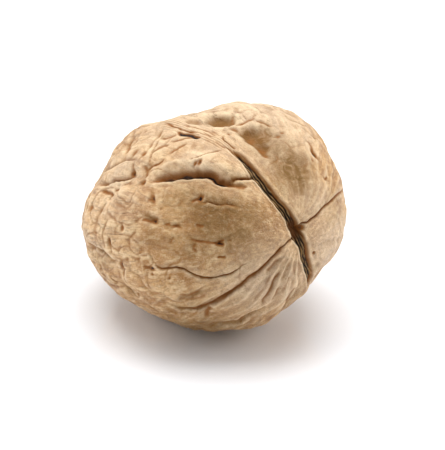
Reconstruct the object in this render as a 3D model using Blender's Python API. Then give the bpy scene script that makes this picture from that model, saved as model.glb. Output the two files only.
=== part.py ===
"""Whole walnut in its closed shell: a blunt egg about 42 x 36 x 30 mm lying on its side.

Metres, +Z up. The stem end points toward +X and is raised; the nut stands on a small flat spot at z = 0, and
the origin is the middle of the bottom of its box.

A place on the shell is given by two angles in degrees: how far it is from the stem end (0) toward the tip
(180), and how far round the long axis, counted from the upper branch of the seam (0) toward the +Y cheek (90),
the lower branch of the seam (180) and the -Y cheek (-90).
"""

import bmesh
import bpy
import numpy as np
from mathutils import Matrix

MM = 0.001

LENGTH = 41.8 * MM
CHEEK_WIDTH = 35.5 * MM
SEAM_WIDTH = 30.3 * MM
STEM_LIFT_DEG = 16.5
SEAM_ROLL_DEG = 18.6
BLUNT_STEM = 0.02

MERIDIANS = 96
RINGS = 50
CROWD_TO_SEAM = 0.30
CROWD_TO_SEAM_AND_CHEEKS = 0.40

FLAT_SPOT_RISE = 0.55 * MM

# Swellings and hollows: degrees from the stem end, degrees round, reach in mm, height in mm.
LUMPS = [
    # the rise and fall of the outer line
    (108, 23, 4.4, -1.3),
    (80, 60, 5.5, 0.6),
    (127, -64, 4.2, 0.9),
    (128, -30, 2.6, -0.6),
    (101, -117, 5.0, -0.8),
    (70, -160, 4.0, 0.4),
    (57, 178, 2.4, -0.5),
    (54, 162, 1.9, -1.0),
    (51, 138, 3.0, 0.3),
    (61, 91, 2.6, -0.35),
    (120, -6, 4.2, 0.45),
    (97, 40, 3.0, 0.35),
    (56, 100, 4.0, -0.25),
    # cups and hollows of the upper cheek
    (80, 6, 1.3, -0.3),
    (69, 12, 1.5, -0.7),
    (58, 23, 1.8, -0.4),
    (51, 19, 2.4, -0.6),
    (44, 17, 1.6, -0.3),
    (30, 38, 3.2, -0.5),
    # hollows of the lower cheek
    (96, -44, 1.3, -0.5),
    (103, -28, 1.5, -0.4),
    (84, -94, 1.6, -0.3),
    # folds swelling on either side of the deep crease
    (53, -12, 2.4, 0.45),
    (50, -33, 3.0, 0.4),
    (70, -50, 3.4, 0.3),
    (66, -92, 3.0, 0.3),
    (34, -157, 2.2, 0.35),
    (84, -22, 2.4, 0.35),
    (92, -56, 2.6, 0.35),
    (42, 66, 3.4, 0.3),
    (28, 122, 2.6, 0.3),
    # far side and tip
    (96, 100, 3.0, -0.6),
    (122, 72, 3.4, 0.5),
    (118, 136, 3.2, -0.5),
    (142, 30, 3.0, -0.4),
    (146, -120, 3.2, 0.4),
    (150, -40, 2.6, -0.4),
    (180, 0, 1.8, 0.8),
]

# Creases between the folds: places along the crease, half width in mm, depth in mm.
CREASES = [
    ([(74, -30), (66, -27), (55, -23), (46, -20), (40, -20), (34, -14), (29, -5)], 1.1, 1.0),
    ([(54, -3), (58, -11), (64, -17), (72, -20), (78, -29)], 0.9, 0.5),
    ([(112, -39), (97, -38), (86, -34), (78, -30)], 1.1, 0.8),
    ([(106, -12), (100, -19), (99, -27)], 1.1, 0.5),
    ([(10, -120), (20, -113), (34, -111), (50, -111), (62, -108)], 1.1, 0.8),
    ([(24, -95), (36, -95), (45, -90), (51, -81), (62, -76)], 0.9, 0.5),
    ([(38, -146), (47, -147), (55, -140), (62, -132)], 1.1, 0.8),
    ([(30, -170), (38, -169), (50, -169)], 1.0, 0.5),
    ([(8, 88), (20, 94), (35, 100), (52, 104), (66, 98)], 0.9, 0.6),
    ([(116, -74), (104, -74), (95, -75), (85, -79), (88, -90)], 1.2, 0.7),
    ([(30, 132), (50, 128), (72, 120), (90, 126)], 1.2, 0.8),
    ([(66, 82), (80, 92), (98, 86), (112, 96)], 1.2, 0.8),
    ([(88, 40), (104, 52), (124, 48), (140, 58)], 1.2, 0.8),
    ([(100, 112), (116, 120), (134, 112), (150, 124)], 1.2, 0.8),
    ([(90, 160), (108, 150), (128, 158), (146, 148)], 1.2, 0.7),
    ([(95, -150), (112, -158), (130, -148), (148, -156)], 1.2, 0.8),
    ([(126, -100), (140, -88), (156, -96)], 1.2, 0.8),
    ([(120, -20), (134, -32), (150, -24)], 1.2, 0.8),
]

# Long wandering folds all round, calmer on the cheek turned up front: folds round the nut, height in mm.
FOLDS = [(9, 0.45), (17, 0.25)]
FOLD_WANDER = 9.0 * MM
FOLD_SEED = 11
CALM_PLACE = (48, -55)
CALM_REACH = 16.0 * MM

# The seam: an open channel round the stem end that closes to a low keel toward the tip.
CHANNEL_FLOOR_HALF_WIDTH = 0.4 * MM
CHANNEL_TOP_HALF_WIDTH = 0.95 * MM
CHANNEL_DEPTH = 0.75 * MM
UPPER_CHANNEL_CLOSES_DEG = (46, 58)
LOWER_CHANNEL_CLOSES_DEG = (36, 48)
KEEL_HEIGHT = 0.3 * MM
KEEL_HALF_WIDTH = 1.5 * MM
STEM_SCAR_REACH = 1.1 * MM
STEM_SCAR_DEPTH = 0.5 * MM

# How many degrees the seam wanders from its plane: degrees from the stem end, degrees round.
UPPER_SEAM_DRIFT = [(0, 0.0), (35, 0.0), (50, 2.5), (60, 2.0), (76, -1.5), (95, 0.0), (180, 0.0)]
LOWER_SEAM_DRIFT = [(0, 0.0), (25, 0.0), (40, -3.0), (60, -2.0), (90, 1.0), (130, -1.0), (180, 0.0)]
DRIFT_REACH_DEG = 22


def egg_point(from_stem, round_axis):
    """Point of the bare egg in its own axes: x along the nut, y toward a cheek, z in the plane of the seam."""
    girth = np.sin(from_stem) * (1.0 + BLUNT_STEM * np.cos(from_stem))
    return np.stack(
        [
            LENGTH / 2 * np.cos(from_stem),
            CHEEK_WIDTH / 2 * girth * np.sin(round_axis),
            SEAM_WIDTH / 2 * girth * np.cos(round_axis),
        ],
        axis=-1,
    )


def fade(value, start, end):
    """1 before start, 0 after end, smooth between."""
    part = np.clip((value - start) / (end - start), 0.0, 1.0)
    return 1.0 - part * part * (3.0 - 2.0 * part)


def crease_line(places):
    """Points every half millimetre or so along a crease, and how open the crease is at each of them."""
    places = np.radians(np.array(places, dtype=float))
    knots = np.linspace(0.0, 1.0, len(places))
    steps = np.linspace(0.0, 1.0, 16 * len(places))
    points = egg_point(np.interp(steps, knots, places[:, 0]), np.interp(steps, knots, places[:, 1]))
    return points, np.sqrt(np.sin(np.pi * np.clip(steps, 0.04, 0.96)))


for stale in list(bpy.data.objects):
    bpy.data.objects.remove(stale, do_unlink=True)

# A ball whose poles become the stem end and the tip, its meridians crowded toward the seam.
nut = bmesh.new()
bmesh.ops.create_uvsphere(nut, u_segments=MERIDIANS, v_segments=RINGS, radius=1.0)
ball = np.array([vert.co[:] for vert in nut.verts])
from_stem = np.arccos(np.clip(ball[:, 2], -1.0, 1.0))
turn = np.arctan2(ball[:, 1], ball[:, 0])
round_axis = turn - CROWD_TO_SEAM * np.sin(2 * turn) / 2 - CROWD_TO_SEAM_AND_CHEEKS * np.sin(4 * turn) / 4

stem_deg = np.degrees(from_stem)
round_deg = np.degrees(round_axis)
from_upper_seam = np.abs(round_deg)
from_lower_seam = 180.0 - from_upper_seam
for drift, from_seam in ((UPPER_SEAM_DRIFT, from_upper_seam), (LOWER_SEAM_DRIFT, from_lower_seam)):
    stray = np.interp(stem_deg, *np.array(drift).T)
    round_axis = round_axis + np.radians(stray) * np.exp(-((from_seam / DRIFT_REACH_DEG) ** 2))

egg = egg_point(from_stem, round_axis)
half_axes = np.array([LENGTH, CHEEK_WIDTH, SEAM_WIDTH]) / 2
outward = egg / half_axes**2
outward /= np.linalg.norm(outward, axis=1, keepdims=True)
rise = np.zeros(len(egg))

for lump_stem, lump_round, reach, height in LUMPS:
    middle = egg_point(np.radians(lump_stem), np.radians(lump_round))
    away = np.linalg.norm(egg - middle, axis=1)
    rise += height * MM * np.exp(-0.5 * (away / (reach * MM)) ** 2)

for places, half_width, depth in CREASES:
    points, openness = crease_line(places)
    away = np.linalg.norm(egg[:, None, :] - points[None, :, :], axis=2)
    nearest = away.argmin(axis=1)
    across = away.min(axis=1) / (half_width * MM)
    rise -= depth * MM * openness[nearest] * np.exp(-(across**2))

waves = np.random.default_rng(FOLD_SEED)
wander = np.zeros(len(egg))
for _ in range(6):
    heading = waves.normal(size=3)
    heading /= np.linalg.norm(heading)
    wander += np.sin(egg @ heading * 2 * np.pi / FOLD_WANDER + waves.uniform(0.0, 2 * np.pi))
calm_middle = egg_point(*np.radians(CALM_PLACE))
calm = np.exp(-((np.linalg.norm(egg - calm_middle, axis=1) / CALM_REACH) ** 2))
for count, height in FOLDS:
    swell = np.sqrt(np.abs(np.sin(count / 2 * round_axis + 0.55 * wander)))
    rise += height * MM * (swell - 0.75) * np.sin(from_stem) ** 2 * (1.0 - 0.85 * calm)

# The seam's cross-section goes by the distance from its drifting plane, its opening by the place along it.
girth = CHEEK_WIDTH / 2 * np.sin(from_stem)
off_seam = girth * np.abs(np.sin(np.radians(round_deg)))
upper = from_upper_seam < 90.0
opening = np.where(upper, fade(stem_deg, *UPPER_CHANNEL_CLOSES_DEG), fade(stem_deg, *LOWER_CHANNEL_CLOSES_DEG))
rise -= CHANNEL_DEPTH * opening * fade(off_seam, CHANNEL_FLOOR_HALF_WIDTH, CHANNEL_TOP_HALF_WIDTH)
rise += KEEL_HEIGHT * (1.0 - opening) * np.exp(-((off_seam / KEEL_HALF_WIDTH) ** 2))
rise -= STEM_SCAR_DEPTH * np.exp(-((girth / STEM_SCAR_REACH) ** 2)) * (stem_deg < 90.0)

shell = egg + outward * rise[:, None]
lift = Matrix.Rotation(np.radians(-STEM_LIFT_DEG), 3, "Y")
roll = Matrix.Rotation(np.radians(SEAM_ROLL_DEG), 3, "X")
shell = shell @ np.array(lift @ roll).T
for vert, place in zip(nut.verts, shell):
    vert.co = place

# The small flat spot the nut rests on.
floor = min(vert.co.z for vert in nut.verts) + FLAT_SPOT_RISE
cut = bmesh.ops.bisect_plane(
    nut,
    geom=nut.verts[:] + nut.edges[:] + nut.faces[:],
    plane_co=(0.0, 0.0, floor),
    plane_no=(0.0, 0.0, -1.0),
    clear_outer=True,
)
rim = [item for item in cut["geom_cut"] if isinstance(item, bmesh.types.BMEdge)]
bmesh.ops.contextual_create(nut, geom=rim)
bmesh.ops.triangulate(nut, faces=nut.faces[:])
bmesh.ops.recalc_face_normals(nut, faces=nut.faces[:])

spots = np.array([vert.co[:] for vert in nut.verts])
low = spots.min(axis=0)
high = spots.max(axis=0)
bmesh.ops.translate(
    nut, verts=nut.verts[:], vec=(-(low[0] + high[0]) / 2, -(low[1] + high[1]) / 2, -low[2])
)

mesh = bpy.data.meshes.new("walnut")
nut.to_mesh(mesh)
nut.free()

shell_tan = bpy.data.materials.new("walnut shell")
shell_tan.use_nodes = True
surface = shell_tan.node_tree.nodes["Principled BSDF"]
surface.inputs["Base Color"].default_value = (0.46, 0.25, 0.11, 1.0)
surface.inputs["Roughness"].default_value = 0.62
surface.inputs["Metallic"].default_value = 0.0
mesh.materials.append(shell_tan)

walnut = bpy.data.objects.new("walnut", mesh)
collection = bpy.data.collections.new("walnut")
bpy.context.scene.collection.children.link(collection)
collection.objects.link(walnut)
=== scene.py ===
import math

import bpy
import numpy as np
from mathutils import Matrix, Vector, bvhtree, noise


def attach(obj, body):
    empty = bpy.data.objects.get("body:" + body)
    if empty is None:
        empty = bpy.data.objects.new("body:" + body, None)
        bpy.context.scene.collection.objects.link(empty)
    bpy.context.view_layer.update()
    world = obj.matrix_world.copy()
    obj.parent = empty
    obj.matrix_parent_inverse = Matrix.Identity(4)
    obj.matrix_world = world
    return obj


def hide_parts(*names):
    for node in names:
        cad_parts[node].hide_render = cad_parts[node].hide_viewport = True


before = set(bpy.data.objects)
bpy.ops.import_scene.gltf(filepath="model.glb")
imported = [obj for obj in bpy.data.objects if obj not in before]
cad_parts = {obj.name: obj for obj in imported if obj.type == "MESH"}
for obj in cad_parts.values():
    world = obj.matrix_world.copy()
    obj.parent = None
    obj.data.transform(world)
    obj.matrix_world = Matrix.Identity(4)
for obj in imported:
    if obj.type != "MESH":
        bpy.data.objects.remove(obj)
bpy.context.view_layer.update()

# ---------------------------------------------------------------------------------------------------------
# The shell. A common walnut's two woody halves, grown together along the seam and dried pale tan. The seam
# gapes round the stem end and closes to fine ridges toward the tip. The skin is folded, pitted and veined,
# so each fold, crease, cup and pit is sculpted into one fine mesh over the solid nut.
#
# A place on the shell is two angles in degrees: how far from the stem end (0) toward the tip (180), and how
# far round the long axis, from the upper branch of the seam (0) toward the +Y cheek (90), the lower branch
# (180) and the -Y cheek (-90). Lengths here are in millimetres until the mesh is laid down.
# ---------------------------------------------------------------------------------------------------------
HALF_AXES = np.array([20.9, 17.75, 15.15])
MIDDLE = np.array([0.35, 0.1, 15.23])
STEM_LIFT = math.radians(16.5)
SEAM_ROLL = math.radians(18.6)
TURN = np.array(Matrix.Rotation(-STEM_LIFT, 3, "Y") @ Matrix.Rotation(SEAM_ROLL, 3, "X"))


def on_egg(places):
    """Points on the smooth egg for places given in degrees."""
    places = np.radians(np.asarray(places, dtype=float))
    stem, turn = places[..., 0], places[..., 1]
    unit = np.stack([np.cos(stem), np.sin(stem) * np.sin(turn), np.sin(stem) * np.cos(turn)], axis=-1)
    return unit * HALF_AXES


def egg_outward(points):
    """Unit normals of the egg at points on it."""
    normals = points / HALF_AXES**2
    return normals / np.linalg.norm(normals, axis=-1, keepdims=True)


def ease(value, start, end):
    """0 before start, 1 after end, smooth between."""
    part = np.clip((value - start) / (end - start), 0.0, 1.0)
    return part * part * (3.0 - 2.0 * part)


# A ball of rings round the long axis is drawn finer where the work is fine: along both branches of the seam,
# over the cheek beside it and toward the stem end. Its meridians follow the wandering seam.
MERIDIANS = 432
RINGS = 228
UPPER_DRIFT = [
    (0, 0), (9, 1.5), (16, -1), (21, -1.5), (29, -0.2), (36, 0.5), (44, 1.8), (50, 1.5), (60, 1), (76, -1),
    (95, 0), (180, 0),
]
LOWER_DRIFT = [
    (0, 0), (10, -1), (16, 2), (22, 0.7), (29, -2), (34, -3.2), (40, -4), (60, -2), (90, 1), (130, -1),
    (180, 0),
]
SEAM_BAND = 14.0


def drawn_finer(share, low, high, fineness):
    """Places from low to high for even shares from 0 to 1, packed closer where the fineness is high."""
    steps = np.linspace(low, high, 3601)
    level = fineness(steps)
    total = np.concatenate([[0.0], np.cumsum((level[1:] + level[:-1]) / 2)])
    return np.interp(share * total[-1], total, steps)


def seam_share(turn):
    """Degrees from the nearer branch of the seam, and whether that is the upper branch."""
    is_upper = np.abs(turn) <= 90
    return np.where(is_upper, turn, turn - np.sign(turn) * 180.0), is_upper


bpy.ops.object.select_all(action="DESELECT")
bpy.ops.mesh.primitive_uv_sphere_add(segments=MERIDIANS, ring_count=RINGS)
shell = bpy.context.object
shell.name = "walnut_shell"
count = len(shell.data.vertices)
ball = np.empty(count * 3)
shell.data.vertices.foreach_get("co", ball)
ball = ball.reshape(-1, 3)
stem_deg = drawn_finer(
    np.arccos(np.clip(ball[:, 2], -1, 1)) / math.pi, 0, 180, lambda stem: 1 - 0.5 * ease(stem, 108, 130)
)
turn_deg = drawn_finer(
    np.arctan2(ball[:, 0], ball[:, 1]) / (2 * math.pi) + 0.5,
    -180,
    180,
    lambda turn: 0.7
    + 0.3 * ease(turn, -170, -150) * (1 - ease(turn, 95, 115))
    + 0.6 * ease(turn, -155, -140) * (1 - ease(turn, -15, -5))
    + 1.8 * np.exp(-((seam_share(turn)[0] / 5.5) ** 2)),
)
from_seam, is_upper = seam_share(turn_deg)
upper_drift = np.interp(stem_deg, *np.array(UPPER_DRIFT).T)
lower_drift = np.interp(stem_deg, *np.array(LOWER_DRIFT).T)
drift = np.where(is_upper, upper_drift, lower_drift)
turn_deg = turn_deg + drift * np.exp(-((from_seam / SEAM_BAND) ** 2))
stem_angle, turn_angle = np.radians(stem_deg), np.radians(turn_deg)
egg = on_egg(np.stack([stem_deg, turn_deg], axis=1))

# The solid nut gives the large form: rays from the middle are measured to its skin on an even net of places,
# and its small flat faces are smoothed away, round the nut and then lengthwise.
SMOOTHING = 0.85
GIRTH_RADIUS = 16.5
LENGTH_RADIUS = 18.5
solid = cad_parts["walnut"]
solid_tree = bvhtree.BVHTree.FromObject(solid, bpy.context.evaluated_depsgraph_get())
start = Vector(MIDDLE / 1000)
net = np.arange(180) + 0.5
net_egg = on_egg(np.stack(np.meshgrid(net, np.arange(-180, 180), indexing="ij"), axis=-1))
net_rays = (net_egg @ TURN.T).reshape(-1, 3)
reach = np.array([solid_tree.ray_cast(start, Vector(ray))[3] for ray in net_rays])
reach = (reach * 1000 / np.linalg.norm(net_rays, axis=1)).reshape(180, 360)
waves = np.arange(181)
round_blur = SMOOTHING / (GIRTH_RADIUS * np.sin(np.radians(net)))
kept = np.exp(-((waves[None, :] * round_blur[:, None]) ** 2) / 2)
reach = np.fft.irfft(np.fft.rfft(reach, axis=1) * kept, n=360, axis=1)
loops = np.concatenate([reach[:, :180], reach[::-1, 180:]], axis=0)
kept = np.exp(-((waves[:, None] * SMOOTHING / LENGTH_RADIUS) ** 2) / 2)
loops = np.fft.irfft(np.fft.rfft(loops, axis=0) * kept, n=360, axis=0)
reach = np.concatenate([loops[:180], loops[:179:-1]], axis=1)
reach = np.concatenate([np.roll(reach[:1], 180, axis=1), reach, np.roll(reach[-1:], 180, axis=1)], axis=0)
reach = np.concatenate([reach, reach[:, :1]], axis=1)
row = np.clip(stem_deg + 0.5, 0, 180.999)
column = np.mod(turn_deg + 180.0, 360.0)
row_low, column_low = row.astype(int), column.astype(int)
row_part, column_part = row - row_low, column - column_low
reach_here = (
    reach[row_low, column_low] * (1 - row_part) * (1 - column_part)
    + reach[row_low + 1, column_low] * row_part * (1 - column_part)
    + reach[row_low, column_low + 1] * (1 - row_part) * column_part
    + reach[row_low + 1, column_low + 1] * row_part * column_part
)
base = egg * reach_here[:, None]

edges = np.empty(len(shell.data.edges) * 2, dtype=np.int64)
shell.data.edges.foreach_get("vertices", edges)
edges = edges.reshape(-1, 2)
ends = np.concatenate([edges[:, 0], edges[:, 1]])
others = np.concatenate([edges[:, 1], edges[:, 0]])
valence = np.bincount(ends, minlength=count)


def rub(values, times):
    """Each value drawn half-way to the mean of its neighbours, so many times."""
    for _ in range(times):
        mean = np.bincount(ends, weights=values[others], minlength=count) / valence
        values = 0.5 * (values + mean)
    return values


def wander(point):
    """A small random shift of a point on the egg, made of broad, middling and fine sways."""
    point = Vector(point)
    broad = 0.28 * noise.noise_vector(point * 0.38)
    middling = 0.09 * noise.noise_vector(point * 1.1)
    return broad + middling + 0.035 * noise.noise_vector(point * 2.6)


# Small unevenness, so that no crease or pit has a drawn-with-a-compass outline. The noise is seeded, or it
# would start from the clock.
noise.seed_set(3)
uneven = np.array([wander(point) for point in egg])
felt = egg + uneven

height = np.zeros(count)
swelling = np.zeros(count)
slide = np.zeros((count, 3))
shade_and_dirt = np.zeros(count)
stain_and_shade = np.zeros(count)
strand = np.zeros(count)
rng = np.random.default_rng(7)


def along_shell(places, stray, step=0.12):
    """A line over the egg through the places: its points, headings, and how far along each is (0 to 1)."""
    knots = on_egg(places)
    knots = np.concatenate([[2 * knots[0] - knots[1]], knots, [2 * knots[-1] - knots[-2]]])
    points = []
    for before, here, there, after in zip(knots, knots[1:], knots[2:], knots[3:]):
        steps = max(2, int(np.linalg.norm(there - here) / step))
        part = np.linspace(0.0, 1.0, steps, endpoint=False)[:, None]
        points.append(
            0.5
            * (
                2 * here
                + (there - before) * part
                + (2 * before - 5 * here + 4 * there - after) * part**2
                + (3 * here - before - 3 * there + after) * part**3
            )
        )
    points = np.concatenate(points + [knots[-2:-1]])
    heading = np.gradient(points, axis=0)
    heading /= np.linalg.norm(heading, axis=1, keepdims=True)
    length = np.concatenate([[0.0], np.cumsum(np.linalg.norm(np.diff(points, axis=0), axis=1))])
    side = np.cross(heading, egg_outward(points))
    wobble = np.zeros(len(points))
    for wave in (1.1, 2.3, 4.1):
        wobble += wave / 3.0 * np.sin(length / wave * 2 * math.pi + rng.uniform(0, 2 * math.pi))
    points = points + side * (stray * wobble * np.sin(math.pi * length / length[-1]))[:, None]
    unit = points / HALF_AXES
    points = unit / np.linalg.norm(unit, axis=1, keepdims=True) * HALF_AXES
    return points, heading, length / length[-1]


def crease(
    places, depth, width, dark=0.5, over=0.0, swell=0.0, brink=0.0, wide=1.6, bank=None, stray=0.1,
    run_on=(False, False),
):
    """A crease between two folds. With over > 0, the fold on the side of rising turn hangs over the other.

    bank is how far back that fold's own face slopes, swell lifts its back over the breadth wide, and brink
    lifts the edge of the lower one. dark is painted shade, with some dirt, in the line and on that sloping
    face, and run_on says which ends don't fade out.
    """
    # Far from the stem and the seam the net is coarser, so a line there is no finer than it can carry.
    if min(places)[0] > 62 and abs(places[0][1]) > 10:
        width = max(width, 0.22)
    if places[0][0] > places[-1][0]:
        places, run_on = places[::-1], run_on[::-1]
    points, heading, part = along_shell(places, stray)
    middle = (points.min(axis=0) + points.max(axis=0)) / 2
    radius = np.linalg.norm(points - middle, axis=1).max() + 4.0
    chosen = np.nonzero(np.linalg.norm(felt - middle, axis=1) < radius)[0]
    away = felt[chosen][:, None, :] - points[None, :, :]
    distance = np.einsum("ijk,ijk->ij", away, away)
    nearest = distance.argmin(axis=1)
    picked = away[np.arange(len(chosen)), nearest]
    distance = np.sqrt(np.einsum("ij,ij->i", picked, picked))
    left = np.cross(heading, egg_outward(points))[nearest]
    side = np.sign(np.einsum("ij,ij->i", picked, left)) * distance
    # The overhanging lip ends up over the line, so the slot under it starts a little behind.
    hand = -1.0 if over < 0 else 1.0
    side = side * hand - 0.6 * abs(over)
    spread = part[nearest]
    taper = np.ones(len(chosen))
    if not run_on[0]:
        taper *= ease(spread, 0.0, 0.25)
    if not run_on[1]:
        taper *= 1.0 - ease(spread, 0.7, 1.0)
    at_tip = (spread == 0.0) | (spread == 1.0)
    taper *= np.where(at_tip, np.exp(-((distance / (2.5 * width)) ** 2)), 1.0)
    bank = bank or width
    cut = np.exp(-(np.abs(side / np.where(side > 0, bank, width)) ** 1.5))
    dish = np.exp(-((side / (width * 3.4)) ** 2))
    height[chosen] -= taper * depth * (0.74 * cut + 0.26 * dish)
    swelling[chosen] += taper * swell * np.exp(-(((side - wide * 0.7) / (wide * 0.55)) ** 2))
    height[chosen] += taper * brink * np.exp(-(((side + width + 0.25) / 0.3) ** 2))
    lean = ease(side, -0.1, 0.3) * np.exp(-((np.maximum(side, 0.0) / 1.0) ** 2))
    slide[chosen] -= (taper * abs(over) * lean * hand)[:, None] * left
    # The line, and the sloping face of an overhanging fold, are painted darker: painted shade, with some
    # dirt.
    line = np.exp(-((side / (width * 1.2)) ** 2))
    shaded_bank = 0.42 * np.exp(-((side / (bank * 1.25)) ** 4))
    line = np.maximum(line, np.where((side > 0) & (bank > width), shaded_bank, 0.0))
    shade_and_dirt[chosen] = np.maximum(shade_and_dirt[chosen], taper * dark * line)


def cup(place, size, depth, dark=0.4, sharp=2.4, skew=0.0, stain_and_shade_share=0.0):
    """A pit or cup (or, with a negative depth, a knob). size is its reach along the nut and round it.

    A high sharp gives it steep walls, skew slants it, dark paints shade into its middle, and
    stain_and_shade_share browns it all over, partly as stain and partly as painted shade.
    """
    middle = on_egg(place)
    chosen = np.nonzero(np.linalg.norm(felt - middle, axis=1) < 3.2 * max(size))[0]
    outward = egg_outward(middle)
    lengthwise = np.array([1.0, 0.0, 0.0]) - outward[0] * outward
    lengthwise /= np.linalg.norm(lengthwise)
    crosswise = np.cross(outward, lengthwise)
    away = felt[chosen] - middle
    far_along = away @ lengthwise / size[0]
    far_round = (away @ crosswise + skew * (away @ lengthwise)) / size[1]
    far = np.sqrt(far_along * far_along + far_round * far_round)
    height[chosen] -= depth * np.exp(-(far**sharp))
    # The pit's middle is painted darker: painted shade, with some dirt.
    shade_and_dirt[chosen] = np.maximum(shade_and_dirt[chosen], dark * np.exp(-((far / 0.85) ** 2)))
    # The whole cup is browned: stain and painted shade together.
    stain_and_shade[chosen] = np.maximum(stain_and_shade[chosen], stain_and_shade_share * np.exp(-((far / 1.05) ** 3)))


def ridge(places, tall, width, stray=0.08):
    """A raised vein."""
    crease(places, -tall, width, dark=0.0, stray=stray)


# The nut's own lobes and flats, broader than any fold.
for place, size, rise in (
    ((116, -28), 1.8, -0.35),
    ((125, -54), 2.0, -0.35),
    ((124, -76), 3.0, -0.4),
    ((61, 87), 2.0, -0.25),
    ((78, 70), 2.5, -0.25),
    ((86, 46), 3.5, -0.35),
    ((92, 21), 3.0, -0.5),
    ((104, 9), 3.0, -0.4),
    ((121, -35), 2.2, -0.45),
    ((116, -20), 3.0, 0.25),
    ((124, -63), 4.0, 0.2),
    ((44, 167), 1.8, -0.6),
    ((40, 158), 3.0, -0.25),
    ((50, 146), 3.0, -0.3),
    ((49, 114), 2.0, -0.35),
    ((55, 82), 2.0, -0.35),
    ((86, -124), 3.0, -0.45),
    ((59, -176), 2.4, -0.4),
    ((65, -165), 2.0, 0.3),
    ((79, -148), 2.5, -0.25),
    ((112, -98), 4.0, 0.15),
    ((33, -55), 4.0, -0.25),
    ((52, -70), 4.0, 0.2),
    ((24, -75), 3.0, 0.15),
    ((44, -30), 2.6, 0.25),
    ((36, -100), 2.2, 0.2),
    ((58, -90), 3.0, 0.25),
    ((22, 60), 3.0, 0.2),
    ((40, 75), 3.0, -0.15),
):
    cup(place, (size, size), -rise, dark=0.0, sharp=2.0)

# The deep crease under the upper fold, which hangs over it, and the finer lines of that fold.
crease(
    [(33, -1.5), (34.5, -2.5), (36.5, -6.5), (37.5, -9), (38.5, -10.5), (39.8, -14), (40.5, -16.5)],
    0.8, 0.2, dark=1.0, over=0.12, swell=0.15, brink=0.14, wide=1.2, bank=0.3, stray=0.02,
    run_on=(True, False),
)
crease(
    [
        (34, -14), (36.5, -16), (39, -17.8), (41.5, -19.2), (44, -19.7), (46, -20), (48, -20), (50.5, -20.5),
        (53, -22), (55.5, -22.5), (60, -25.5), (63, -27.5), (66, -29.5), (70, -31.5), (72.5, -33), (76, -34),
    ],
    1.4, 0.3, dark=1.15, over=0.16, swell=0.7, brink=0.18, wide=3.0, bank=0.8, stray=0.03,
)
crease(
    [(44, -18.6), (48, -19), (53, -20.8), (57, -22), (61, -24.5), (66, -28), (70, -30), (74, -32.5)],
    0.06, 0.26, dark=0.95, stray=0.05,
)
crease([(41.5, -19.5), (38.5, -17), (35.5, -15), (32, -12.5)], 0.4, 0.42, dark=0.4, stray=0.04)
ridge([(35.5, -17), (34, -16), (31, -13), (27.5, -12), (23, -8)], 0.14, 0.2)
crease(
    [(53.5, -1.5), (54, -3.5), (55.5, -7), (57, -10.5), (58.5, -13), (59.5, -15), (61.5, -18)],
    0.35, 0.15, dark=0.55, over=0.15, swell=0.12, brink=0.05, wide=1.0, stray=0.03,
)
cup((56.5, -15), (0.3, 0.5), 0.4, dark=0.9, sharp=1.8, skew=0.5)
cup((57.8, -16.8), (0.25, 0.4), 0.3, dark=0.8, sharp=1.8)
crease(
    [(79, -29), (77.5, -27), (76, -25), (74, -23), (73, -20.5), (73, -19)],
    0.42, 0.17, dark=0.65, over=0.15, swell=0.12, wide=1.0, stray=0.03,
)
crease([(73.5, -18), (72, -14.5), (71, -12.5), (70, -10), (70, -7.5)], 0.28, 0.16, dark=0.45, stray=0.04)
crease([(82, -21), (80, -17), (79, -15), (77.5, -13), (75.5, -11)], 0.28, 0.16, dark=0.45, stray=0.04)
crease(
    [(85, -11), (81.5, -10.5), (79.5, -9), (78.5, -7.5), (76.5, -5.5)],
    0.32, 0.16, dark=0.5, over=0.08, stray=0.04,
)
crease(
    [(79, -10.5), (76, -10), (74.5, -8.5), (73.5, -7.5), (71.5, -5.5), (68, -4.3)],
    0.32, 0.16, dark=0.5, over=0.08, stray=0.04,
)
crease(
    [(84, -21), (84.5, -18.5), (85.5, -16), (86.5, -13), (87, -10), (88.5, -6.5), (87.5, -3)],
    0.3, 0.2, dark=0.4, stray=0.05,
)

# The cheek below it.
crease([(47, -30.5), (47.5, -33.5), (49, -34.7), (50, -36.5), (50, -39)], 0.4, 0.16, dark=0.9, stray=0.03)
cup((48, -34), (0.38, 0.42), 0.4, dark=1.2, sharp=1.7, skew=0.6)
crease(
    [(49, -39.5), (42, -35.5), (38.5, -34), (34, -32), (29, -31)],
    0.35, 0.26, dark=0.4, over=0.2, swell=0.22, brink=0.16, wide=1.8, bank=0.5,
)
crease(
    [(50, -59.8), (47.5, -60.5), (45, -62), (41, -62), (38.5, -63.5), (35.5, -64)],
    0.3, 0.15, dark=0.75, stray=0.04, run_on=(False, True),
)
crease([(37, -64), (34.5, -63), (33, -62.3)], 0.35, 0.13, dark=0.8, stray=0.0)
crease([(37.5, -64), (34.5, -66), (32.7, -67.2)], 0.45, 0.2, dark=0.95, stray=0.0)
crease([(44.5, -62.5), (45, -65.5), (45.5, -68), (44, -71)], 0.25, 0.2, dark=0.55, stray=0.03)
crease([(32, -63.3), (29.5, -64)], 0.2, 0.15, dark=0.5, stray=0.0)
crease([(37, -75.8), (35, -76.5), (32.5, -78.7)], 0.3, 0.16, dark=0.75, stray=0.02)
crease([(34, -74.5), (31, -76), (27, -77)], 0.12, 0.2, dark=0.3, stray=0.02)
crease([(46, -50.5), (43.5, -51.8), (42, -52.5)], 0.25, 0.16, dark=0.7, stray=0.02)
cup((67.5, -40.5), (0.6, 0.45), 0.5, dark=0.95, sharp=1.7, skew=0.7)
cup((68.5, -41.5), (0.4, 0.25), 0.25, dark=0.4, sharp=1.7)
cup((65, -51.5), (1.5, 0.7), 0.25, dark=0.2, stain_and_shade_share=0.6, skew=0.2)
crease([(62, -50), (63.5, -51.5), (66, -52.3), (69, -52), (71.5, -52.8)], 0.35, 0.17, dark=0.7, stray=0.05)
cup((64.5, -52.5), (0.55, 0.32), 0.3, dark=1.05, sharp=1.7, skew=0.4)
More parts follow.
